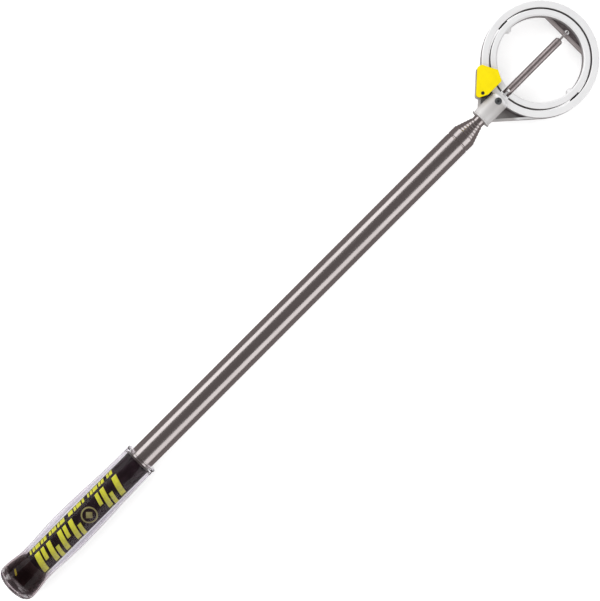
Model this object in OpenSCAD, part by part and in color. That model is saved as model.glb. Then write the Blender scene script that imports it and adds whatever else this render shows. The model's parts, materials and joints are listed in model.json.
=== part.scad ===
// Telescopic ball retriever: a clear sleeved grip, seven nested stainless tubes and a hoop head.
// The head is a fixed outer hoop with a second hoop that flips inside it on two side pins.
// Both hoops lie a little behind the shaft's axis, so that their flat back rests on the ground.
// A sprung strut holds the inner hoop just past dead centre until a ball pushes the strut up.
// +X runs along the shaft from butt to hoop, +Z is the front of the hoop, +Y is the clip's side.
// Positions along the shaft are counted from just behind the butt, heights from the shaft's axis.

/* [Grip] */
// Length of the clear grip sleeve
grip_len = 100.8; // [90:0.1:110]
// Largest radius of the rounded butt, which is also the height of the shaft above the ground
butt_r = 11.3; // [10.5:0.1:12]
// Wall of the clear sleeve
sleeve_wall = 0.8; // [0.6:0.1:1.2]
// Radius of the printed insert around the tube
insert_r = 7.5; // [7.3:0.05:7.8]

/* [Tubes] */
// Radius of the main tube
main_r = 7; // [6.5:0.1:7.2]
// Radius of the last and thinnest tube
last_r = 3.5; // [3.3:0.1:3.8]
// Wall of every tube
tube_wall = 0.35; // [0.3:0.01:0.4]
// Length of the sliding sections
section_len = 302.5; // [250:0.5:306]
// Place of the main tube's tip
main_tip = 347.6; // [346:0.1:349]
// How far each tip stands out of the one before
tip_step = 1.72; // [1.5:0.01:1.8]
// Radial clearance of every sliding or turning fit
fit_gap = 0.05; // [0.03:0.01:0.08]

/* [Head] */
// Outer radius of the fixed hoop
hoop_r = 31.7; // [31:0.1:33]
// Radial width of the fixed hoop
hoop_w = 3.8; // [3.5:0.1:4]
// Depth of both hoops
hoop_depth = 8; // [7.6:0.1:8.2]
// How far the hoops lie behind the shaft's axis
head_drop = 2.3; // [2.2:0.1:2.5]
// Outer radius of the flipping hoop
flip_r = 27; // [26.9:0.05:27.2]
// Radius of the hole a ball passes through
hole_r = 23.4; // [22.8:0.1:23.6]
// Radius of the neck collar
collar_r = 5.5; // [5.4:0.1:5.8]
// Thickness of the catch plate
clip_t = 2.6; // [2:0.1:3]

/* [Strut] */
// Radius of the strut tube
strut_r = 2.2; // [2.1:0.05:2.3]
// Radius of the strut's wire
wire_r = 0.6; // [0.5:0.05:0.65]

/* [Hidden] */

$fn = 96;

// Overshoot of a cutting solid past the face it opens
cut = 1;

// Grip: the outline's stations as [place along the shaft, radius]
butt_start = 1.1;
butt_x = 6.3;
grip_stations = [[butt_x, butt_r], [21, 9.9], [45, 10.9], [96, 9.45], [grip_len, 9.45]];
butt_wall = 2.6;
butt_power = 2 / 3.8;
mouth_bead_r = 0.6;
tube_start = 8;
plug_shoulder = 17.4;
plug_end = 20.1;
insert_start = 20.2;
insert_end = 98.5;
mouth_ring_start = 98.6;
mouth_ring_end = 99.5;
seat_gap = 0.03;

// Tubes
sections = 6;
r_step = (main_r - last_r) / sections;
shim_t = r_step - tube_wall - fit_gap;
shim_setback = 1;
shim_len = 8;
shim_slit = 1;
groove_back = 6;
groove_w = 1.2;
groove_d = 0.33;
lip_len = 1.1;
lip_taper = 0.85;
lip_drop = 0.45;
stop_start = 38;

// Head
collar_start = 359.1;
collar_end = 374.9;
socket_end = 374.2;
hoop_x = 405;
pivot_x = 404.2;
total_len = hoop_x + hoop_r - butt_start;
axis_h = butt_r;
half_d = hoop_depth / 2;
hoop_in = hoop_r - hoop_w;
edge_round = 0.6;
hole_bevel = 0.8;
web_low = -3.7;
web_high = -2.1;
rib_high = 0.4;
rib_w = 1.2;
web_foot = [363.1, collar_r - 0.3];
screw_x = 372.2;
screw_r = 1.95;
ring_pin_r = 1;
ring_pin_in = 23.9;
ring_pin_out = 31.1;
bump_r = 2.7;
bump_tip_r = 0.9;
bump_in = 21.9;
bump_root = 23.65;
washer_r = 3.2;
washer_in = 27.04;
washer_out = 27.64;
gap_half = 2.7;
chord_x = 423.8;
lip_w = 2.1;
plate_low = -3.4;
plate_high = -2.2;
plate_grip = 1;
lip_high = -0.95;
lip_tall = lip_high - plate_low;
rest_half_angle = 4;
rest_in = 26;
rest_high = -3.2;
rest_gap = 0.1;

// Catch clip
clip_pin_at = [369.5, 8.95];
clip_z = 4.3;
seat_back = [0.25, -0.1];
clip_pin_r = 0.6;
clip_head_r = 0.85;
clip_head_t = 0.45;
post_r = 2.7;
clip_corners = [
    [365.6, 10.3, 1.6], [377.3, 20.9, 1.6], [380, 20.2, 1], [382.3, 15.4, 3],
    [384.2, 12.1, 0.8], [381.3, 6.3, 1.2], [370.9, 6.4, 2.5], [366.5, 8.6, 1.2]
];

// Strut: the neck pin, the tube's bored hole, the cap and the wire's hook
strut_pin_x = 379.6;
strut_pin_r = 0.6;
tongue_half = 0.6;
slot_half = 0.7;
slot_end = 382.4;
cheek_r = 1.1;
tongue_r = 1.25;
boss_half = 1.1;
boss_top = 2;
boss_face = 378.2;
strut_bore_r = 1.7;
strut_bore_x = 388.3;
strut_mouth = 419.2;
cap_start = 417.8;
cap_end = 420.4;
cap_bore_r = 0.8;
cap_tip_r = 1.5;
hook_x = 426.5;
hook_bend = 1;
hook_tip = -3.75;
hook_hole_r = 1.3;
retainer_x = 390.9;
retainer_t = 1;
retainer_r = 1.55;
spring_r = 1.15;
spring_wire_r = 0.2;
spring_turns = 14;

// Smooth step between two radii, flat at both ends
function ease(a, b, t) = a + (b - a) * (1 - cos(180 * t)) / 2;

// Outline of the grip from the butt to the mouth, set in by a wall
function dome(inset, end) = [
    for (a = [0:6:90])
        let (tall = butt_r - inset, deep = butt_x - end)
            [tall * pow(sin(a), butt_power), butt_x - deep * cos(a)]
];
function flank(inset) = [
    for (k = [0:len(grip_stations) - 2])
        let (p = grip_stations[k], q = grip_stations[k + 1])
            for (t = [0.1:0.1:1])
                [ease(p[1], q[1], t) - inset, p[0] + (q[0] - p[0]) * t]
];
function grip_line(inset, end, stop) = [
    for (p = concat(dome(inset, end), flank(inset))) if (p[1] <= stop) p
];
function backwards(list) = [for (k = [len(list) - 1:-1:0]) list[k]];

// Points on an arc, then a rectangle with round corners, then an outline with round corners
function arc(c, r, from, to, n = 6) = [
    for (k = [0:n]) let (a = from + (to - from) * k / n) c + r * [cos(a), sin(a)]
];
function round_box(x0, x1, y0, y1, r) = concat(
    arc([x0 + r, y0 + r], r, 180, 270), arc([x1 - r, y0 + r], r, 270, 360),
    arc([x1 - r, y1 - r], r, 0, 90), arc([x0 + r, y1 - r], r, 90, 180)
);
function unit(v) = v / norm(v);
function round_outline(c, n = 7) = [
    for (k = [0:len(c) - 1])
        let (
            p = [c[k][0], c[k][1]],
            before = c[(k + len(c) - 1) % len(c)],
            after = c[(k + 1) % len(c)],
            u = unit([before[0], before[1]] - p),
            v = unit([after[0], after[1]] - p),
            half = acos(u * v) / 2,
            middle = p + unit(u + v) * c[k][2] / sin(half),
            start = p + u * c[k][2] / tan(half) - middle,
            stop = p + v * c[k][2] / tan(half) - middle,
            a0 = atan2(start[1], start[0]),
            turn = (atan2(stop[1], stop[0]) - a0 + 540) % 360 - 180
        )
            for (j = [0:n]) middle + c[k][2] * [cos(a0 + turn * j / n), sin(a0 + turn * j / n)]
];

// Point where a straight line from the web's foot touches the outer hoop
web_reach = norm(web_foot - [hoop_x, 0]);
web_turn = acos(hoop_r / web_reach);
web_aim = atan2(web_foot[1], web_foot[0] - hoop_x);
web_touch = [hoop_x, 0] + hoop_r * [cos(web_aim - web_turn), sin(web_aim - web_turn)];

// Radius, tip and lower end of tube number i, where 0 is the main tube
function tube_r(i) = main_r - i * r_step;
function bore_r(i) = tube_r(i) - tube_wall;
function tip_x(i) = main_tip + i * tip_step;
function low_x(i) = tip_x(i) - section_len;

// Everything is drawn on the shaft's axis from the butt, then set into the part's frame
module placed() {
    translate([-total_len / 2 - butt_start, 0, axis_h]) children();
}

// The hoops, the strut and the catch clip are drawn about the hoops' own middle plane
module hooped() {
    placed() translate([0, 0, -head_drop]) children();
}

// A profile of [radius, place] points turned round the shaft
module turned(points) {
    rotate([0, 90, 0]) rotate_extrude() polygon(points);
}

// A round bar along the shaft, along the hoop's side axis, and upright
module bar_x(r, from, to) {
    translate([from, 0, 0]) rotate([0, 90, 0]) cylinder(r = r, h = to - from);
}
module bar_y(r, x, z, from, to) {
    translate([x, from, z]) rotate([-90, 0, 0]) cylinder(r = r, h = to - from);
}
module bar_z(r, at, from, to) {
    translate([at[0], at[1], from]) cylinder(r = r, h = to - from);
}

// One tube: its tip is rolled in to guide the next tube, and a rolled groove stops that tube's shim
module drawn_tube(i, from, to) {
    r = tube_r(i);
    b = bore_r(i);
    roll = shim_t;
    g = to - groove_back;
    turned(concat(
        [[b, from], [r, from], [r, g - groove_w / 2]],
        [[r - groove_d, g - groove_w / 6], [r - groove_d, g + groove_w / 6], [r, g + groove_w / 2]],
        [[r, to - lip_taper], [r - lip_drop / 4, to - lip_taper / 2], [r - lip_drop, to]],
        [[b - roll, to], [b - roll, to - lip_len], [b, to - lip_len - roll]],
        [[b, g + groove_w / 2], [b - roll, g + groove_w / 4], [b - roll, g - groove_w / 4]],
        [[b, g - groove_w / 2]]
    ));
}

module section(i) {
    color("silver") placed() drawn_tube(i, low_x(i), tip_x(i));
}

// The thinnest tube is plain at the top, where it is held in the collar's socket
module last_section() {
    color("silver") placed() difference() {
        bar_x(tube_r(sections), low_x(sections), socket_end);
        bar_x(bore_r(sections), low_x(sections) - cut, socket_end + cut);
    }
}

// Split brass sleeve at a section's lower end, which rubs in the tube outside it
module friction_shim(i) {
    from = low_x(i) + shim_setback;
    color("goldenrod") placed() difference() {
        bar_x(tube_r(i) + shim_t, from, from + shim_len);
        bar_x(tube_r(i), from - cut, from + shim_len + cut);
        translate([from - cut, -shim_slit / 2, 0]) cube([shim_len + 2 * cut, shim_slit, main_r]);
    }
}

module grip_sleeve() {
    outer = grip_line(0, butt_start, grip_len);
    inner = grip_line(sleeve_wall, butt_wall, grip_len);
    mouth = grip_stations[len(grip_stations) - 1][1];
    color("whitesmoke", 0.4) placed() {
        turned(concat(outer, backwards(inner)));
        rotate([0, 90, 0]) rotate_extrude()
            translate([mouth - mouth_bead_r / 2, grip_len - mouth_bead_r]) circle(r = mouth_bead_r, $fn = 32);
    }
}

module butt_plug() {
    skin = grip_line(sleeve_wall + seat_gap, butt_wall + seat_gap, plug_shoulder);
    color("#241a20") placed() difference() {
        turned(concat(skin, [[insert_r + 0.5, plug_end - 0.7], [insert_r, plug_end], [0, plug_end]]));
        bar_x(main_r, tube_start, plug_end + cut);
    }
}

module grip_insert() {
    color("#2c2028") placed() difference() {
        bar_x(insert_r, insert_start, insert_end);
        bar_x(main_r, insert_start - cut, insert_end + cut);
    }
}

module mouth_ring() {
    seat = grip_stations[len(grip_stations) - 1][1] - sleeve_wall - seat_gap;
    color("#3a3436") placed() difference() {
        bar_x(seat, mouth_ring_start, mouth_ring_end);
        bar_x(main_r, mouth_ring_start - cut, mouth_ring_end + cut);
    }
}

module main_tube() {
    color("silver") placed() drawn_tube(0, tube_start, main_tip);
}

// Stepped plug in the main tube, one step under each nested section
module stop_plug() {
    color("dimgray") placed()
        for (i = [1:sections])
            bar_x(bore_r(i - 1) - (i > 1 ? fit_gap : 0), stop_start, low_x(i) - fit_gap);
}

// Hoop with rounded edges, centred on the head, and a bevel round its hole
module hoop(r_in, r_out, bevel = 0) {
    translate([hoop_x, 0, 0]) rotate_extrude($fn = 180) difference() {
        polygon(round_box(r_in, r_out, -half_d, half_d, edge_round));
        for (side = [-1, 1])
            polygon([
                [r_in - cut, side * (half_d - bevel)], [r_in, side * (half_d - bevel)],
                [r_in + bevel, side * half_d], [r_in + bevel, side * (half_d + cut)],
                [r_in - cut, side * (half_d + cut)]
            ]);
    }
}

// Thin web on one side of the neck with a raised rib along its straight outer edge
module web() {
    inner = web_foot - [0, web_foot[1]];
    slope = unit(web_touch - web_foot);
    inward = [slope[1], -slope[0]] * rib_w;
    translate([0, 0, web_low]) linear_extrude(web_high - web_low)
        polygon([inner, web_foot, web_touch, [hoop_x - hoop_in - hoop_w / 2, 0]]);
    translate([0, 0, web_low]) linear_extrude(rib_high - web_low)
        polygon([web_foot, web_touch, web_touch + inward, web_foot + inward]);
}

// Seat under the catch clip, cast between the web and the hoop, in the clip's own outline
module clip_seat() {
    translate([0, 0, web_low]) linear_extrude(half_d - web_low)
        polygon(round_outline([for (c = clip_corners) [c[0] + seat_back[0], c[1] + seat_back[1], c[2]]]));
}

module collar() {
    turned(concat(
        [[0, collar_start]],
        arc([collar_r, collar_start + 0.4], 0.4, 270, 450, 8),
        [[collar_r - 0.15, collar_start + 1.1], [collar_r, collar_start + 4]],
        arc([collar_r - 1.2, collar_end - 1.2], 1.2, 0, 90),
        [[0, collar_end]]
    ));
}

// Wedge of a hoop's rim around its far point, used for the rest lug and its recess
module far_wedge(half_angle, r_in, r_out, low, high) {
    far = 2 * r_out;
    translate([hoop_x, 0, low]) intersection() {
        difference() {
            cylinder(r = r_out, h = high - low);
            translate([0, 0, -cut]) cylinder(r = r_in, h = high - low + 2 * cut);
        }
        linear_extrude(high - low)
            polygon([
                [0, 0],
                far * [cos(half_angle), -sin(half_angle)], far * [cos(half_angle), sin(half_angle)]
            ]);
    }
}

module head_frame() {
    color("gainsboro") hooped() {
        difference() {
            union() {
                hoop(hoop_in, hoop_r);
                difference() {
                    union() {
                        web();
                        mirror([0, 1, 0]) web();
                        translate([0, 0, head_drop]) collar();
                        clip_seat();
                    }
                    bar_z(hoop_in, [hoop_x, 0], -2 * collar_r, 2 * collar_r);
                }
                translate([hoop_x - hoop_r + hoop_w / 2, -boss_half, -cheek_r])
                    cube([boss_face - hoop_x + hoop_r - hoop_w / 2, 2 * boss_half, cheek_r + boss_top]);
                translate([boss_face - cut, -tongue_half, -cheek_r])
                    cube([strut_pin_x - boss_face + cut, 2 * tongue_half, 2 * cheek_r]);
                bar_y(tongue_r, strut_pin_x, 0, -tongue_half, tongue_half);
            }
            translate([0, 0, head_drop]) {
                bar_x(last_r, collar_start - cut, socket_end);
                bar_z(screw_r, [screw_x, 0], 0, collar_r + cut);
            }
            bar_z(clip_pin_r, clip_pin_at, web_low + rib_w, half_d + cut);
            bar_y(ring_pin_r, pivot_x, 0, -hoop_r - cut, hoop_r + cut);
            bar_y(strut_pin_r, strut_pin_x, 0, -tongue_half - cut, tongue_half + cut);
        }
        far_wedge(rest_half_angle, rest_in, hoop_in + 1, -half_d, rest_high);
    }
}

// Grub screw that bites the last tube, with a domed top and a small hexagon socket
module set_screw() {
    rim = collar_r - 0.8;
    r = screw_r - seat_gap;
    color("#7c858a") placed() difference() {
        translate([screw_x, 0, 0]) rotate_extrude()
            polygon([
                [0, last_r], [r, last_r], [r, rim],
                [r * 0.85, rim + 0.27], [r * 0.5, rim + 0.5], [0, rim + 0.6]
            ]);
        translate([screw_x, 0, rim - 0.4]) cylinder(r = 0.7, h = 1 + cut, $fn = 6);
    }
}

// Hoop that flips: open at the neck, slotted for the plate, with a stop bump inside each pin
module inner_ring() {
    color("gainsboro") hooped() {
        difference() {
            hoop(hole_r, flip_r, hole_bevel);
            translate([hoop_x - hoop_r, -gap_half, -half_d - cut])
                cube([hoop_w * 3, 2 * gap_half, hoop_depth + 2 * cut]);
            plate_blank(seat_gap);
            bar_y(ring_pin_r + fit_gap, pivot_x, 0, -flip_r - cut, flip_r + cut);
            far_wedge(rest_half_angle + 1, rest_in - 0.2, hoop_r, -half_d - cut, rest_high + rest_gap);
        }
        for (side = [-1, 1]) translate([pivot_x, side * bump_in, 0])
            rotate([-90 * side, 0, 0]) cylinder(r1 = bump_tip_r, r2 = bump_r, h = bump_root - bump_in);
    }
}

// Outline of the chord plate, whose round edge sits in the inner hoop, grown by a gap
module plate_blank(gap) {
    intersection() {
        bar_z(hole_r + plate_grip + gap, [hoop_x, 0], plate_low - gap, lip_high + gap);
        union() {
            translate([chord_x, -flip_r, plate_low - gap])
                cube([flip_r, 2 * flip_r, plate_high - plate_low + 2 * gap]);
            translate([chord_x, -flip_r, (plate_low + lip_high) / 2]) rotate([-90, 0, 0])
                linear_extrude(2 * flip_r)
                    polygon(round_box(
                        -gap, lip_w + gap, -lip_tall / 2 - gap, lip_tall / 2 + gap, lip_tall / 3
                    ));
        }
    }
}

// Steel plate across the hoop's far side, with a thick rounded lip and the hole for the wire's hook
module trip_plate() {
    color("dimgray") hooped() difference() {
        plate_blank(0);
        bar_z(hook_hole_r, [hook_x, 0], plate_low - cut, 0);
    }
}

module ring_pin(side) {
    color("#35302f") hooped()
        bar_y(ring_pin_r, pivot_x, 0, min(side * ring_pin_in, side * ring_pin_out),
            max(side * ring_pin_in, side * ring_pin_out));
}

module pivot_washer(side) {
    from = min(side * washer_in, side * washer_out);
    color("#2a2628") hooped() difference() {
        bar_y(washer_r, pivot_x, 0, from, from + washer_out - washer_in);
        bar_y(ring_pin_r, pivot_x, 0, from - cut, from + cut);
    }
}

module locking_clip() {
    color("yellow") hooped() difference() {
        translate([0, 0, clip_z]) linear_extrude(clip_t) polygon(round_outline(clip_corners));
        bar_z(clip_pin_r + fit_gap, clip_pin_at, clip_z - cut, clip_z + clip_t + cut);
        bar_z(clip_head_r + 0.1, clip_pin_at, clip_z + clip_t - clip_head_t - 0.1, clip_z + clip_t + cut);
    }
}

module clip_pin() {
    top = clip_z + clip_t;
    color("#3b3936") hooped() {
        bar_z(clip_pin_r, clip_pin_at, web_low + rib_w, top);
        bar_z(clip_head_r, clip_pin_at, top - clip_head_t, top);
    }
}

module clip_washer() {
    color("dimgray") hooped() difference() {
        bar_z(post_r - 0.2, clip_pin_at, half_d, clip_z - 0.02);
        bar_z(clip_pin_r, clip_pin_at, half_d - cut, clip_z + cut);
    }
}

// Bored rod whose lower end is a fork on the neck's tongue
module strut_tube() {
    color("rosybrown") hooped() difference() {
        union() {
            bar_x(strut_r, strut_pin_x, strut_mouth);
            intersection() {
                bar_x(strut_r, strut_pin_x - cheek_r, strut_pin_x + cheek_r);
                bar_y(cheek_r, strut_pin_x, 0, -strut_r, strut_r);
            }
        }
        bar_x(strut_bore_r, strut_bore_x, strut_mouth + cut);
        bar_y(strut_pin_r + fit_gap, strut_pin_x, 0, -strut_r - cut, strut_r + cut);
        translate([strut_pin_x - strut_r, -slot_half, -strut_r - cut])
            cube([slot_end - strut_pin_x + strut_r, 2 * slot_half, 2 * strut_r + 2 * cut]);
    }
}

module strut_pin() {
    color("#35302f") hooped() bar_y(strut_pin_r, strut_pin_x, 0, -strut_r + 0.2, strut_r - 0.2);
}

// Cap pressed into the strut's mouth, with a bevelled tip that guides the wire
module strut_cap() {
    color("rosybrown") hooped()
        turned([
            [cap_bore_r, cap_start], [strut_bore_r, cap_start], [strut_bore_r, strut_mouth],
            [strut_r, strut_mouth], [strut_r, cap_end - 0.7], [cap_tip_r, cap_end], [cap_bore_r, cap_end]
        ]);
}

// Straight wire, a quarter bend and a short leg down through the plate's hole
module strut_wire() {
    color("silver") hooped() {
        bar_x(wire_r, retainer_x, hook_x - hook_bend);
        translate([hook_x - hook_bend, 0, -hook_bend]) rotate([90, 0, 0])
            rotate_extrude(angle = 90) translate([hook_bend, 0]) circle(r = wire_r, $fn = 32);
        bar_z(wire_r, [hook_x, 0], hook_tip, -hook_bend);
    }
}

module wire_retainer() {
    color("dimgray") hooped() difference() {
        bar_x(retainer_r, retainer_x, retainer_x + retainer_t);
        bar_x(wire_r, retainer_x - cut, retainer_x + retainer_t + cut);
    }
}

// Coil spring between the retainer and the cap, swept as rings of points along a helix
module strut_spring() {
    ring_sides = 6;
    steps = spring_turns * 12;
    from = retainer_x + retainer_t + spring_wire_r + fit_gap;
    to = cap_start - spring_wire_r - fit_gap;
    points = [
        for (k = [0:steps]) let (a = 360 * spring_turns * k / steps, x = from + (to - from) * k / steps)
            for (j = [0:ring_sides - 1])
                let (b = 360 * j / ring_sides, r = spring_r + spring_wire_r * cos(b))
                    [x + spring_wire_r * sin(b), r * cos(a), r * sin(a)]
    ];
    walls = [
        for (k = [0:steps - 1]) for (j = [0:ring_sides - 1])
            let (n = (j + 1) % ring_sides, p = k * ring_sides, q = p + ring_sides)
                [p + j, q + j, q + n, p + n]
    ];
    ends = [
        [for (j = [0:ring_sides - 1]) j],
        [for (j = [ring_sides - 1:-1:0]) steps * ring_sides + j]
    ];
    color("lightgray") hooped() polyhedron(points, concat(walls, ends));
}

grip_sleeve();
butt_plug();
grip_insert();
mouth_ring();
main_tube();
stop_plug();
section(1);  // section_1
section(2);  // section_2
section(3);  // section_3
section(4);  // section_4
section(5);  // section_5
last_section();  // section_6
friction_shim(1);  // friction_shim_1
friction_shim(2);  // friction_shim_2
friction_shim(3);  // friction_shim_3
friction_shim(4);  // friction_shim_4
friction_shim(5);  // friction_shim_5
friction_shim(6);  // friction_shim_6
head_frame();
set_screw();
inner_ring();
trip_plate();
ring_pin(1);  // ring_pin_left
ring_pin(-1);  // ring_pin_right
pivot_washer(1);  // pivot_washer_left
pivot_washer(-1);  // pivot_washer_right
locking_clip();
clip_pin();
clip_washer();
strut_tube();
strut_pin();
strut_cap();
strut_wire();
wire_retainer();
strut_spring();
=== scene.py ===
"""Looks of the telescopic ball retriever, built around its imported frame. Lengths are in metres."""
import json
import math

import bmesh
import bpy
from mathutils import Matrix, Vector

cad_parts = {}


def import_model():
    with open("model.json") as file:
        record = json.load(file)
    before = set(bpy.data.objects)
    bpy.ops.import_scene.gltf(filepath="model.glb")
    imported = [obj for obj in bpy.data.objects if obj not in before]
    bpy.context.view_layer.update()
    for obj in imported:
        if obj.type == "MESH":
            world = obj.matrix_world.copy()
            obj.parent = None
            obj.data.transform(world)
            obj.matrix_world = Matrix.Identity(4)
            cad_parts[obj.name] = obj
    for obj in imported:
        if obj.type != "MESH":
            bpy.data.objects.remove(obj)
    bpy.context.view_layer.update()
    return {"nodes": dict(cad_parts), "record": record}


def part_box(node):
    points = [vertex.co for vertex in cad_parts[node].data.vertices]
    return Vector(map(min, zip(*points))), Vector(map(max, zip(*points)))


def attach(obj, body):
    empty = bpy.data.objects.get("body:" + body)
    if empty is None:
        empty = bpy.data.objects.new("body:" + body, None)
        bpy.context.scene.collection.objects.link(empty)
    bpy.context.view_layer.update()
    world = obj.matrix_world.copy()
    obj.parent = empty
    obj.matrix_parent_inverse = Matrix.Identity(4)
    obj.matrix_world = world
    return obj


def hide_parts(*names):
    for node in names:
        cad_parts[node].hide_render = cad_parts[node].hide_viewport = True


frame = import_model()

MM = 0.001
NODES = frame["nodes"]

# Places taken from the frame
TUBE_LOW, TUBE_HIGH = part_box("main_tube")
SLEEVE_LOW, SLEEVE_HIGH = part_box("grip_sleeve")
INSERT_LOW, INSERT_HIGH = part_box("grip_insert")
HOOP_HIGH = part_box("head_frame")[1]
AXIS_Z = (TUBE_LOW[2] + TUBE_HIGH[2]) / 2
HOOP_R = HOOP_HIGH[1]
HOOP_X = HOOP_HIGH[0] - HOOP_R
HOOP_BACK_X = HOOP_X - HOOP_R
INSERT_R = (INSERT_HIGH[1] - INSERT_LOW[1]) / 2

# MARK_X is where part.scad counts places along the shaft from, just behind the butt
BUTT_START = 1.1 * MM
MARK_X = SLEEVE_LOW[0] - BUTT_START

# Grip sleeve: the outline's stations as (place along the shaft, radius), as in part.scad
BUTT_R = (SLEEVE_HIGH[1] - SLEEVE_LOW[1]) / 2
BULGE_AT = 6.3 * MM
GRIP_STATIONS = [
    (BULGE_AT, BUTT_R), (21 * MM, 9.9 * MM), (45 * MM, 10.9 * MM), (96 * MM, 9.45 * MM)
]
GRIP_END = SLEEVE_HIGH[0] - MARK_X
SLEEVE_WALL = 0.8 * MM
BUTT_WALL = 2.6 * MM
BUTT_POWER = 2 / 3.8
BEAD_R = 0.6 * MM
LATHE_SEGMENTS = 128

# Points nearer than this are one point
MERGE = 1e-7


# ---------------------------------------------------------------- mesh helpers

def new_object(name, mesh, body, material):
    """Adds a visible piece that rides on one body."""
    piece = bpy.data.objects.new(name, mesh)
    bpy.context.scene.collection.objects.link(piece)
    mesh.materials.append(material)
    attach(piece, body)
    return piece


def mesh_from(name, points, faces):
    """A smooth mesh whose faces all look outwards."""
    mesh = bpy.data.meshes.new(name)
    mesh.from_pydata([tuple(p) for p in points], [], faces)
    shape = bmesh.new()
    shape.from_mesh(mesh)
    bmesh.ops.recalc_face_normals(shape, faces=shape.faces)
    shape.to_mesh(mesh)
    shape.free()
    for face in mesh.polygons:
        face.use_smooth = True
    return mesh


def ease(first, last, t):
    """Smooth step between two radii, flat at both ends."""
    return first + (last - first) * (1 - math.cos(math.pi * t)) / 2


def lathe(name, outline):
    """Turns (place along the shaft, radius) points round the shaft. A radius of 0 is one point."""
    points = []
    rings = []
    for along, radius in outline:
        if radius < MERGE:
            rings.append([len(points)])
            points.append(Vector((MARK_X + along, 0, AXIS_Z)))
            continue
        rings.append(list(range(len(points), len(points) + LATHE_SEGMENTS)))
        for k in range(LATHE_SEGMENTS):
            turn = 2 * math.pi * k / LATHE_SEGMENTS
            side, lift = radius * math.cos(turn), radius * math.sin(turn)
            points.append(Vector((MARK_X + along, side, AXIS_Z + lift)))
    faces = []
    for a, b in zip(rings, rings[1:]):
        for k in range(LATHE_SEGMENTS):
            n = (k + 1) % LATHE_SEGMENTS
            if len(a) == 1:
                faces.append((a[0], b[k], b[n]))
            elif len(b) == 1:
                faces.append((a[k], a[n], b[0]))
            else:
                faces.append((a[k], a[n], b[n], b[k]))
    return mesh_from(name, points, faces)


def softened(name, node, body, slot_name, width):
    """A copy of a CAD node's shape with its sharp edges rounded over."""
    flat, sharp_edge, crease = (math.radians(degrees) for degrees in (1, 40, 25))
    source = NODES[node]
    shape = bmesh.new()
    shape.from_mesh(source.data)
    shape.transform(source.matrix_world)
    bmesh.ops.remove_doubles(shape, verts=shape.verts, dist=MERGE)
    bmesh.ops.dissolve_limit(shape, angle_limit=flat, verts=shape.verts, edges=shape.edges)
    sharp = [edge for edge in shape.edges
             if len(edge.link_faces) == 2 and edge.calc_face_angle() > sharp_edge]
    bmesh.ops.bevel(shape, geom=sharp, offset=width, segments=3, profile=0.5, affect="EDGES",
                    clamp_overlap=True)
    bmesh.ops.triangulate(shape, faces=shape.faces)
    mesh = bpy.data.meshes.new(name)
    shape.to_mesh(mesh)
    shape.free()
    mesh.shade_smooth()
    mesh.set_sharp_from_angle(angle=crease)
    piece = new_object(name, mesh, body, MATERIALS[slot_name])
    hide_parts(node)
    return piece


# ---------------------------------------------------------------- material helpers

class Shader:
    """A node material under construction, on one Principled shader."""

    def __init__(self, name, **inputs):
        self.material = bpy.data.materials.new(name)
        self.material.use_nodes = True
        self.tree = self.material.node_tree
        self.surface = self.tree.nodes["Principled BSDF"]
        for socket, value in inputs.items():
            self.surface.inputs[socket.replace("_", " ")].default_value = value
        self.coords = self.tree.nodes.new("ShaderNodeTexCoord")

    def link(self, source, target):
        self.tree.links.new(source, target)

    def place(self, scale=(1, 1, 1)):
        """Object coordinates, stretched."""
        mapping = self.tree.nodes.new("ShaderNodeMapping")
        mapping.inputs["Scale"].default_value = scale
        self.link(self.coords.outputs["Object"], mapping.inputs["Vector"])
        return mapping.outputs["Vector"]

    def noise(self, scale, stretch=(1, 1, 1), detail=4, rough=0.55):
        """Fine noise. A stretch below 1 draws it out along that axis."""
        node = self.tree.nodes.new("ShaderNodeTexNoise")
        node.inputs["Scale"].default_value = scale
        node.inputs["Detail"].default_value = detail
        node.inputs["Roughness"].default_value = rough
        self.link(self.place(stretch), node.inputs["Vector"])
        return node.outputs["Fac"]

    def span(self, value, low, high, to_low=0.0, to_high=1.0):
        """Maps low..high to to_low..to_high, clamped at both ends."""
        node = self.tree.nodes.new("ShaderNodeMapRange")
        node.inputs["From Min"].default_value = low
        node.inputs["From Max"].default_value = high
        node.inputs["To Min"].default_value = to_low
        node.inputs["To Max"].default_value = to_high
        self.link(value, node.inputs["Value"])
        return node.outputs["Result"]

    def mix(self, factor, first, second):
        """Blends two colours, each a tuple or a socket."""
        node = self.tree.nodes.new("ShaderNodeMix")
        node.data_type = "RGBA"
        self.link(factor, node.inputs["Factor"])
        for socket, colour in ((node.inputs[6], first), (node.inputs[7], second)):
            if isinstance(colour, tuple):
                socket.default_value = (*colour, 1)
            else:
                self.link(colour, socket)
        return node.outputs[2]

    def part(self, vector, name):
        """One coordinate of a vector socket."""
        node = self.tree.nodes.new("ShaderNodeSeparateXYZ")
        self.link(vector, node.inputs["Vector"])
        return node.outputs[name]

    def axis(self, name):
        """X, Y or Z in the part's frame."""
        return self.part(self.coords.outputs["Object"], name)

    def maths(self, operation, first, second):
        """One sum on two values, each a number or a socket."""
        node = self.tree.nodes.new("ShaderNodeMath")
        node.operation = operation
        for socket, value in zip(node.inputs, (first, second)):
            if isinstance(value, (int, float)):
                socket.default_value = value
            else:
                self.link(value, socket)
        return node.outputs[0]

    def upright(self):
        """1 on faces that look straight up or down, 0 on vertical walls."""
        return self.maths("ABSOLUTE", self.part(self.coords.outputs["Normal"], "Z"), 0)

    def colour(self, value):
        self.link(value, self.surface.inputs["Base Color"])

    def roughness(self, value):
        self.link(value, self.surface.inputs["Roughness"])

    def bump(self, height, strength, distance):
        """Relief from a height socket. distance is in metres."""
        node = self.tree.nodes.new("ShaderNodeBump")
        node.inputs["Strength"].default_value = strength
        node.inputs["Distance"].default_value = distance
        self.link(height, node.inputs["Height"])
        self.link(node.outputs["Normal"], self.surface.inputs["Normal"])


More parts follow.
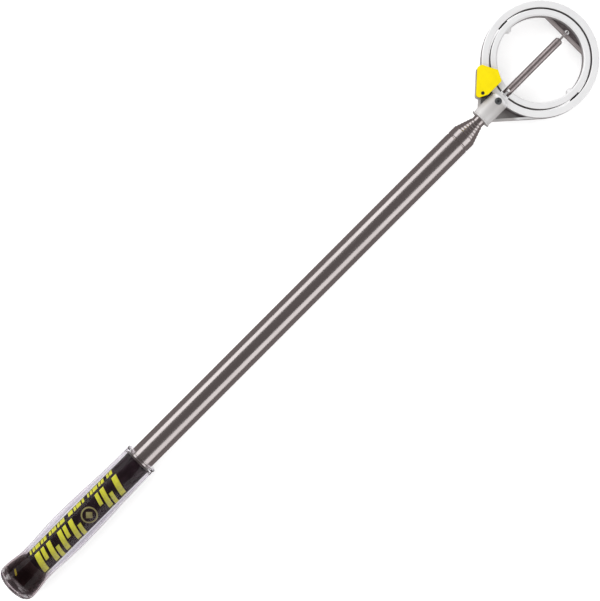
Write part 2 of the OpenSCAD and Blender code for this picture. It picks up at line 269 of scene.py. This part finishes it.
def stainless():
    """Polished tube: fine drawn lines along its length and a few dull smears."""
    s = Shader("stainless", Metallic=1.0, Anisotropic=0.35)
    lines = s.noise(900, (0.02, 1, 1), 3, 0.6)
    smears = s.noise(55, (0.35, 1, 1), 5, 0.6)
    polished, dull = (0.60, 0.555, 0.55), (0.52, 0.475, 0.47)
    s.colour(s.mix(s.span(smears, 0.35, 0.7), polished, dull))
    smeared = s.span(smears, 0.3, 0.75, 0.15, 0.22)
    s.roughness(s.maths("ADD", smeared, s.span(lines, 0.3, 0.7, 0.0, 0.06)))
    s.bump(lines, 0.08, 0.02 * MM)
    return s.material


def cast_metal():
    """Silver-white casting: bright flat faces, with painted shade on the walls, on the collar next
    to the hoop and in the recesses by the webs.
    """
    # Tones: bright and worn for the faces; the rest are painted shade for the walls, the collar and
    # the recesses.
    bright, worn, wall = (0.95, 0.95, 0.955), (0.88, 0.88, 0.89), (0.24, 0.22, 0.225)
    painted_collar_shade, painted_recess_shade = (0.51, 0.49, 0.48), (0.07, 0.052, 0.052)
    s = Shader("cast_metal", Metallic=0.2)
    grain = s.noise(2600, (1, 1, 1), 4, 0.6)
    flow = s.noise(110, (1, 1, 1), 4, 0.5)
    clean = s.mix(s.span(flow, 0.3, 0.7), bright, worn)
    # Painted shade: faces that stand upright are drawn much darker than the flat faces.
    walls = s.mix(s.span(s.upright(), 0.45, 0.05, 0, 0.85), clean, wall)
    # Painted shade just outside the hoop and below the webs' top, darkest next to the hoop
    out = s.maths("SUBTRACT", s.axis("X"), HOOP_X)
    side = s.axis("Y")
    square = s.maths("ADD", s.maths("MULTIPLY", out, out), s.maths("MULTIPLY", side, side))
    shade = s.span(s.maths("POWER", square, 0.5), HOOP_R, HOOP_R + 6 * MM, 0.95, 0)
    recess = s.span(s.axis("Z"), 7.0 * MM, 7.6 * MM, 1, 0)
    # Painted shade on the collar, darkest next to the hoop
    behind = s.maths("SUBTRACT", HOOP_BACK_X, s.axis("X"))
    fading = s.span(behind, 1 * MM, 13 * MM, 1, 0.6)
    collar = s.maths("MULTIPLY", s.span(behind, -1 * MM, 1 * MM), fading)
    body = s.mix(collar, walls, painted_collar_shade)
    # Painted recess shade goes over the body colour
    s.colour(s.mix(s.maths("MULTIPLY", recess, shade), body, painted_recess_shade))
    s.roughness(s.span(flow, 0.3, 0.7, 0.33, 0.48))
    s.bump(grain, 0.15, 0.03 * MM)
    return s.material


def plain(name, colour, rough, metal=0.0, grain=1500, depth=0.01, darker=0.8, specular=0.5):
    """A small part's material: two close tones and a fine surface grain."""
    s = Shader(name, Metallic=metal, Specular_IOR_Level=specular)
    spots = s.noise(grain / 6)
    s.colour(s.mix(s.span(spots, 0.35, 0.65), colour, tuple(c * darker for c in colour)))
    s.roughness(s.span(spots, 0.3, 0.7, rough * 0.85, rough * 1.15))
    s.bump(s.noise(grain), 0.2, depth * MM)
    return s.material


def printed(name, bright, deep):
    """Ink that goes from bright on the grip's clip side to deep on the other, a little worn, with a
    faint painted glow.
    """
    s = Shader(name, Roughness=0.5, Specular_IOR_Level=0.15)
    wear = s.noise(700, (1, 1, 1), 4, 0.6)
    across_grip = s.span(s.axis("Y"), 3 * MM, -4 * MM)
    worn = s.span(wear, 0.4, 0.8, 0, 0.25)
    ink = s.mix(s.maths("ADD", s.maths("MULTIPLY", across_grip, 0.8), worn), bright, deep)
    s.colour(ink)
    # Painted light: the ink glows faintly, standing in for lamp light that the clear sleeve keeps
    # off it.
    s.link(ink, s.surface.inputs["Emission Color"])
    s.surface.inputs["Emission Strength"].default_value = 0.3
    return s.material


def plug_plastic():
    """The dark butt plug, its rounded end lightened by painted reflections: pale slanting streaks
    under the clear sleeve.
    """
    s = Shader("plug_plastic", Specular_IOR_Level=0.15)
    streaks = s.noise(260, (1.6, 0.5, 0.5), 4, 0.55)
    near_end = s.span(s.axis("X"), MARK_X + 5 * MM, MARK_X + 9 * MM, 1, 0)
    # Painted reflection: pale streaks and a slight lift on the rounded end.
    pale = s.maths("MULTIPLY", s.span(streaks, 0.42, 0.62), near_end)
    painted_sheen = s.maths("ADD", s.maths("MULTIPLY", near_end, 0.12), s.maths("MULTIPLY", pale, 0.6))
    s.colour(s.mix(painted_sheen, (0.075, 0.040, 0.042), (0.42, 0.40, 0.42)))
    s.roughness(s.span(streaks, 0.3, 0.7, 0.4, 0.55))
    return s.material


def clear_plastic():
    """Soft clear plastic: painted streaky shade along its two flanks, smoked at the butt, where pale
    streaks of painted reflection also let less light through.
    """
    s = Shader("clear_plastic", Transmission_Weight=1.0, IOR=1.22)
    scuffs = s.noise(420, (0.25, 1, 1), 5, 0.65)
    lines = s.noise(900, (0.03, 1, 1), 3, 0.6)
    # Painted shade: the two flanks are drawn greyer and streaky, for the light the curved wall bends
    # away.
    sides = s.span(s.maths("ABSOLUTE", s.axis("Y"), 0), 7.3 * MM, 8.3 * MM)
    clear = s.mix(s.span(scuffs, 0.4, 0.75), (0.99, 0.99, 0.99), (0.92, 0.92, 0.93))
    flank_shade = s.mix(s.span(lines, 0.4, 0.62), (0.86, 0.84, 0.88), (0.60, 0.56, 0.62))
    body = s.mix(sides, clear, flank_shade)
    smoked = s.span(s.axis("X"), MARK_X + 15 * MM, MARK_X + 24 * MM, 1, 0)
    # Painted reflection: pale streaks near the butt, which also let less light through.
    streaks = s.noise(420, (1.5, 0.35, 0.6), 3, 0.5)
    butt = s.span(s.axis("X"), MARK_X + 6 * MM, MARK_X + 9 * MM, 1, 0)
    pale = s.maths("MULTIPLY", s.span(streaks, 0.46, 0.6, 0.1, 1), butt)
    s.colour(s.mix(pale, s.mix(smoked, body, (0.44, 0.36, 0.38)), (0.46, 0.44, 0.45)))
    see_through = s.maths("SUBTRACT", 1, s.maths("MULTIPLY", pale, 0.6))
    s.link(see_through, s.surface.inputs["Transmission Weight"])
    s.roughness(s.span(scuffs, 0.45, 0.8, 0.03, 0.14))
    s.bump(s.noise(160, (0.5, 1, 1), 2, 0.4), 0.12, 0.05 * MM)
    return s.material


def sheet_steel():
    """Stamped plate with a semi-matt finish, its lip along the straight edge lightened by a painted
    highlight.
    """
    s = Shader("plate_steel", Metallic=0.5)
    spots = s.noise(400, (1, 1, 1), 4, 0.6)
    flat = s.mix(s.span(spots, 0.35, 0.65), (0.27, 0.23, 0.235), (0.19, 0.16, 0.165))
    # Painted highlight on the lip along the straight edge.
    lip = s.span(s.axis("Z"), 6.95 * MM, 7.3 * MM)
    s.colour(s.mix(lip, flat, (0.50, 0.45, 0.45)))
    s.roughness(s.span(spots, 0.3, 0.7, 0.36, 0.5))
    return s.material


def catch_plastic():
    """Bright yellow moulded plastic, its side walls darkened by painted shade."""
    s = Shader("yellow_plastic", Specular_IOR_Level=0.15)
    spots = s.noise(250, (1, 1, 1), 4, 0.55)
    face = s.mix(s.span(spots, 0.35, 0.65), (0.95, 0.765, 0.0), (0.89, 0.71, 0.0))
    # Painted shade: walls that stand upright are drawn dark brown-yellow.
    s.colour(s.mix(s.span(s.upright(), 0.5, 0.1), face, (0.36, 0.25, 0.01)))
    s.roughness(s.span(spots, 0.3, 0.7, 0.34, 0.46))
    s.bump(s.noise(1500), 0.2, 0.01 * MM)
    return s.material


# Looked up by a node's own name first, then by its slot in the record
MATERIALS = {
    "stainless": stainless(),
    "cast_metal": cast_metal(),
    "clear_sleeve": clear_plastic(),
    "butt_plug": plug_plastic(),
    "screw_steel": plain("screw_steel", (0.21, 0.225, 0.235), 0.38, metal=0.8),
    "seal_rubber": plain("seal_rubber", (0.16, 0.125, 0.125), 0.5, specular=0.3),
    "dark_plastic": plain("dark_plastic", (0.022, 0.014, 0.019), 0.5, specular=0.15),
    "printed_insert": plain("printed_insert", (0.036, 0.017, 0.027), 0.55, darker=0.75,
                            specular=0.12),
    "yellow_print": printed("yellow_print", (1.0, 0.97, 0.07), (0.46, 0.43, 0.09)),
    "faded_print": printed("faded_print", (0.42, 0.38, 0.16), (0.22, 0.19, 0.09)),
    "brass": plain("brass", (0.75, 0.55, 0.24), 0.3, metal=1.0),
    "nylon": plain("nylon", (0.2, 0.2, 0.21), 0.5),
    "dark_steel": plain("dark_steel", (0.13, 0.13, 0.14), 0.35, metal=0.9),
    "yellow_plastic": catch_plastic(),
    "plate_steel": sheet_steel(),
    "strut_metal": plain("strut_metal", (0.55, 0.49, 0.49), 0.42, metal=1.0),
    "wire_steel": plain("wire_steel", (0.55, 0.52, 0.52), 0.3, metal=1.0),
}

for row in frame["record"]["subparts"]:
    node_mesh = NODES[row["node"]].data
    node_mesh.materials.clear()
    node_mesh.materials.append(MATERIALS.get(row["node"], MATERIALS[row["material_slot"]]))


# ---------------------------------------------------------------- grip

def sleeve_outline(inset, end):
    """Outline of the sleeve from the butt's centre to its mouth, set in by a wall."""
    dome_steps, flank_steps = 24, 16
    tall = BUTT_R - inset
    deep = BULGE_AT - end
    line = []
    for k in range(dome_steps + 1):
        # The power sets the dome's points closer together near its centre
        turn = math.radians(90 * (k / dome_steps) ** 1.6)
        line.append((BULGE_AT - deep * math.cos(turn), tall * math.sin(turn) ** BUTT_POWER))
    for (x0, r0), (x1, r1) in zip(GRIP_STATIONS, GRIP_STATIONS[1:]):
        for k in range(1, flank_steps + 1):
            t = k / flank_steps
            line.append((x0 + (x1 - x0) * t, ease(r0, r1, t) - inset))
    return line


def sleeve():
    """Dip-moulded clear sleeve: one closed skin with a rolled bead at its mouth."""
    mouth = GRIP_STATIONS[-1][1]
    bead_x, bead_y = GRIP_END - BEAD_R, mouth - BEAD_R / 2
    bead = []
    for k in range(13):
        turn = math.radians(150 - 240 * k / 12)
        bead.append((bead_x + BEAD_R * math.cos(turn), bead_y + BEAD_R * math.sin(turn)))
    outer = sleeve_outline(0, BUTT_START)
    inner = sleeve_outline(SLEEVE_WALL, BUTT_WALL)
    outline = outer + bead + [(bead_x, mouth - SLEEVE_WALL)] + inner[::-1]
    piece = new_object("clear_sleeve", lathe("clear_sleeve", outline), "handle",
                       MATERIALS["clear_sleeve"])
    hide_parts("grip_sleeve")


# The print's own measure along the shaft, and how far a bar leans for each step sideways
PRINT_START = MARK_X + 20 * MM
PRINT_STEP = 0.532 * MM
PRINT_LEAN = 0.3

# Sideways ends of the bars and of the dashes, in mm from the shaft's middle
BAR_FOOT, BAR_TOP = -7.25, 3.9
SHORT_FOOT, SHORT_TOP = -2.5, -1
DASH_FOOT, DASH_TOP = 5.3, 7.1

# The ink's thickness, and its lift off the insert
INK = 0.03 * MM
INK_LIFT = 0.01 * MM

# The emblem: a ring with a diamond in it
EMBLEM_SIDE = -1.6
EMBLEM_STEP = 75.3
RING_OUT, RING_IN = 4.5 * MM, 3.7 * MM
RING_SLICES = 40
DIAMOND = 2.4

# Bars, each as (place in print steps, width in print steps, foot, top)
BARS = [
    (1, 6.5, BAR_FOOT, BAR_TOP), (9.5, 4.5, SHORT_FOOT, BAR_TOP), (17.5, 5.5, BAR_FOOT, BAR_TOP),
    (25, 4.5, BAR_FOOT, SHORT_TOP), (33, 5.5, BAR_FOOT, BAR_TOP), (40.5, 4.5, SHORT_FOOT, BAR_TOP),
    (48.5, 5.5, BAR_FOOT, BAR_TOP), (56, 4.5, BAR_FOOT, SHORT_TOP),
    (86.5, 4.5, SHORT_FOOT, BAR_TOP), (93.5, 5.5, BAR_FOOT, BAR_TOP),
    (101, 4.5, BAR_FOOT, SHORT_TOP), (110.5, 6.5, BAR_FOOT, BAR_TOP)
]


def on_shaft(along, radius, turn):
    """Point at a radius from the shaft's axis, turned from straight up towards +Y."""
    return Vector((along, radius * math.sin(turn), AXIS_Z + radius * math.cos(turn)))


def printed_patch(points, faces, outline, rows, radius_at, thick=INK):
    """Adds one thin inked patch. Each row is a sideways place, with its own (left, right) places
    along the shaft in outline."""
    first = len(points)
    count = len(rows)
    for lift in (0, thick):
        for (left, right), side in zip(outline, rows):
            for along in (left, right):
                turn = math.asin(side / radius_at(along))
                points.append(on_shaft(along, radius_at(along) + lift, turn))
    top = first + 2 * count
    for k in range(count - 1):
        a = 2 * k
        for low, flip in ((first, True), (top, False)):
            quad = (low + a, low + a + 1, low + a + 3, low + a + 2)
            faces.append(quad[::-1] if flip else quad)
        for e in (0, 1):
            faces.append((first + a + e, first + a + 2 + e, top + a + 2 + e, top + a + e))
    last = 2 * (count - 1)
    for a in (0, last):
        faces.append((first + a, first + a + 1, top + a + 1, top + a))


def on_insert(along):
    """Radius of the print on the insert, the same all along it."""
    return INSERT_R + INK_LIFT


def slanted_bar(points, faces, start, width, low, high):
    """A leaning bar. start and width are in print steps, low and high in mm sideways."""
    rows = [(low + (high - low) * k / 12) * MM for k in range(13)]
    outline = []
    for side in rows:
        left = PRINT_START + start * PRINT_STEP + (side - low * MM) * PRINT_LEAN
        outline.append((left, left + width * PRINT_STEP))
    printed_patch(points, faces, outline, rows, on_insert)


def print_ring(points, faces, middle):
    """The emblem's ring, drawn as many short slices."""
    for k in range(RING_SLICES):
        start, stop = (2 * math.pi * j / RING_SLICES for j in (k, k + 1))
        corners = ((start, RING_IN), (start, RING_OUT), (stop, RING_OUT), (stop, RING_IN))
        a = len(points)
        for lift in (0, INK):
            for around, out in corners:
                turn = math.asin((EMBLEM_SIDE * MM + out * math.sin(around)) / INSERT_R)
                along = middle + out * math.cos(around)
                points.append(on_shaft(along, on_insert(along) + lift, turn))
        faces.append((a, a + 1, a + 2, a + 3))
        faces.append((a + 7, a + 6, a + 5, a + 4))
        faces.append((a + 1, a + 5, a + 6, a + 2))
        faces.append((a, a + 3, a + 7, a + 4))


def on_plug(along):
    """Radius of the butt plug's skin, near its widest part."""
    (x0, r0), (x1, r1) = GRIP_STATIONS[:2]
    seat_gap = 0.025 * MM
    return ease(r0, r1, (along - MARK_X - x0) / (x1 - x0)) - SLEEVE_WALL - seat_gap


def print_piece(name, points, faces, ink):
    """Adds a finished group of printed patches to the handle."""
    new_object(name, mesh_from(name, points, faces), "handle", MATERIALS[ink])


def grip_print():
    """Generic pattern on the insert: leaning bars, a ring with a diamond and a row of dashes."""
    points, faces = [], []
    for start, width, low, high in BARS:
        shift = (low - BAR_FOOT) * PRINT_LEAN * MM / PRINT_STEP
        slanted_bar(points, faces, start + shift, width, low, high)
    print_piece("print_bars", points, faces, "yellow_print")

    # Thirty dashes, less every seventh, and one short mark on the plug
    points, faces = [], []
    for k in range(30):
        if k % 7 != 6:
            slanted_bar(points, faces, 4 + 3.9 * k, 2.2 + 0.8 * (k % 3), DASH_FOOT, DASH_TOP)
    rows = [(3.1 + 2.9 * k / 4) * MM for k in range(5)]
    left = [MARK_X + 9.6 * MM + (side - rows[0]) * 0.5 for side in rows]
    printed_patch(points, faces, [(x, x + 1.2 * MM) for x in left], rows, on_plug, INK / 2)
    print_piece("print_dashes", points, faces, "yellow_print")

    points, faces = [], []
    middle = PRINT_START + EMBLEM_STEP * PRINT_STEP
    print_ring(points, faces, middle)
    rows = [(EMBLEM_SIDE + DIAMOND * step) * MM for step in (-1, -0.5, 0, 0.5, 1)]
    half = [DIAMOND * MM - abs(side - EMBLEM_SIDE * MM) for side in rows]
    printed_patch(points, faces, [(middle - w, middle + w) for w in half], rows, on_insert)
    print_piece("print_ring", points, faces, "faded_print")


sleeve()
grip_print()
softened("catch_plate", "locking_clip", "catch", "yellow_plastic", 0.3 * MM)


# ---------------------------------------------------------------- stage, light and camera

# The view: its height above the shaft, its centre, how much it spans there, and its roll
CAMERA_HEIGHT = 0.92
VIEW_CENTRE = Vector((MARK_X + 221.2 * MM, -0.28 * MM, AXIS_Z))
VIEW_SPAN = 324.54 * MM
VIEW_ROLL = math.radians(-45.037)
SENSOR = 36.0

# Half the floor's side
FLOOR_HALF = 20

# The softboxes: degrees from straight above, distance from the shaft, length and power in watts
LIGHT_TILT = 58
LIGHT_DISTANCE = 0.9
LIGHT_LENGTH = 1.5
LIGHT_POWER = 3.4


def stage():
    """A plain pale floor with a little light of its own, left out of what shiny surfaces mirror."""
    corners = [(x * FLOOR_HALF, y * FLOOR_HALF, 0) for x, y in ((-1, -1), (1, -1), (1, 1), (-1, 1))]
    mesh = mesh_from("floor", corners, [(0, 1, 2, 3)])
    floor = bpy.data.objects.new("floor", mesh)
    bpy.context.scene.collection.objects.link(floor)
    s = Shader("floor", Roughness=0.9, Specular_IOR_Level=0.1)
    s.colour(s.mix(s.noise(3), (0.93, 0.93, 0.93), (0.91, 0.91, 0.91)))
    s.surface.inputs["Emission Color"].default_value = (1, 1, 1, 1)
    s.surface.inputs["Emission Strength"].default_value = 0.45
    mesh.materials.append(s.material)
    floor.visible_glossy = False


def ranged(nodes, links, source, low, high, to_low, to_high):
    """Maps low..high to to_low..to_high in the world's nodes, clamped at both ends."""
    node = nodes.new("ShaderNodeMapRange")
    links.new(source, node.inputs["Value"])
    names = ("From Min", "From Max", "To Min", "To Max")
    for name, value in zip(names, (low, high, to_low, to_high)):
        node.inputs[name].default_value = value
    return node.outputs["Result"]


def world():
    """Bright for matt surfaces and more so from +Y. What shiny surfaces mirror is dim, and least
    dim near the ground."""
    sky = bpy.data.worlds.new("studio")
    bpy.context.scene.world = sky
    sky.use_nodes = True
    nodes = sky.node_tree.nodes
    links = sky.node_tree.links
    coords = nodes.new("ShaderNodeTexCoord")
    split = nodes.new("ShaderNodeSeparateXYZ")
    links.new(coords.outputs["Generated"], split.inputs["Vector"])
    even = nodes["Background"]
    even.inputs["Color"].default_value = (1, 1, 1, 1)
    links.new(ranged(nodes, links, split.outputs["Y"], -1, 1, 0.25, 1.35), even.inputs["Strength"])
    dim = nodes.new("ShaderNodeBackground")
    dim.inputs["Color"].default_value = (1.0, 0.88, 0.87, 1)
    links.new(ranged(nodes, links, split.outputs["Z"], 0.3, -0.2, 0.13, 0.24),
              dim.inputs["Strength"])
    ray = nodes.new("ShaderNodeLightPath")
    mix = nodes.new("ShaderNodeMixShader")
    links.new(ray.outputs["Is Glossy Ray"], mix.inputs["Fac"])
    links.new(even.outputs[0], mix.inputs[1])
    links.new(dim.outputs[0], mix.inputs[2])
    links.new(mix.outputs[0], nodes["World Output"].inputs["Surface"])


def softbox(name, tilt, width):
    """A long soft light beside the shaft, tilted from straight above towards +Y by degrees."""
    data = bpy.data.lights.new(name, "AREA")
    data.shape = "RECTANGLE"
    data.size = LIGHT_LENGTH
    data.size_y = width
    data.energy = LIGHT_POWER
    lamp = bpy.data.objects.new(name, data)
    bpy.context.scene.collection.objects.link(lamp)
    turn = math.radians(tilt)
    lamp.location = on_shaft(0, LIGHT_DISTANCE, turn)
    lamp.rotation_euler = (-turn, 0, 0)


def camera():
    """Looks straight down, rolled so that the shaft runs up to the right."""
    data = bpy.data.cameras.new("camera")
    data.sensor_width = SENSOR
    data.lens = SENSOR * CAMERA_HEIGHT / VIEW_SPAN
    data.clip_start = 0.01
    eye = bpy.data.objects.new("camera", data)
    bpy.context.scene.collection.objects.link(eye)
    eye.location = VIEW_CENTRE + Vector((0, 0, CAMERA_HEIGHT))
    eye.rotation_euler = (0, 0, VIEW_ROLL)
    bpy.context.scene.camera = eye


stage()
world()
softbox("softbox_left", LIGHT_TILT, 0.55)
softbox("softbox_right", -LIGHT_TILT, 0.65)
camera()
bpy.context.scene.view_settings.view_transform = "Standard"
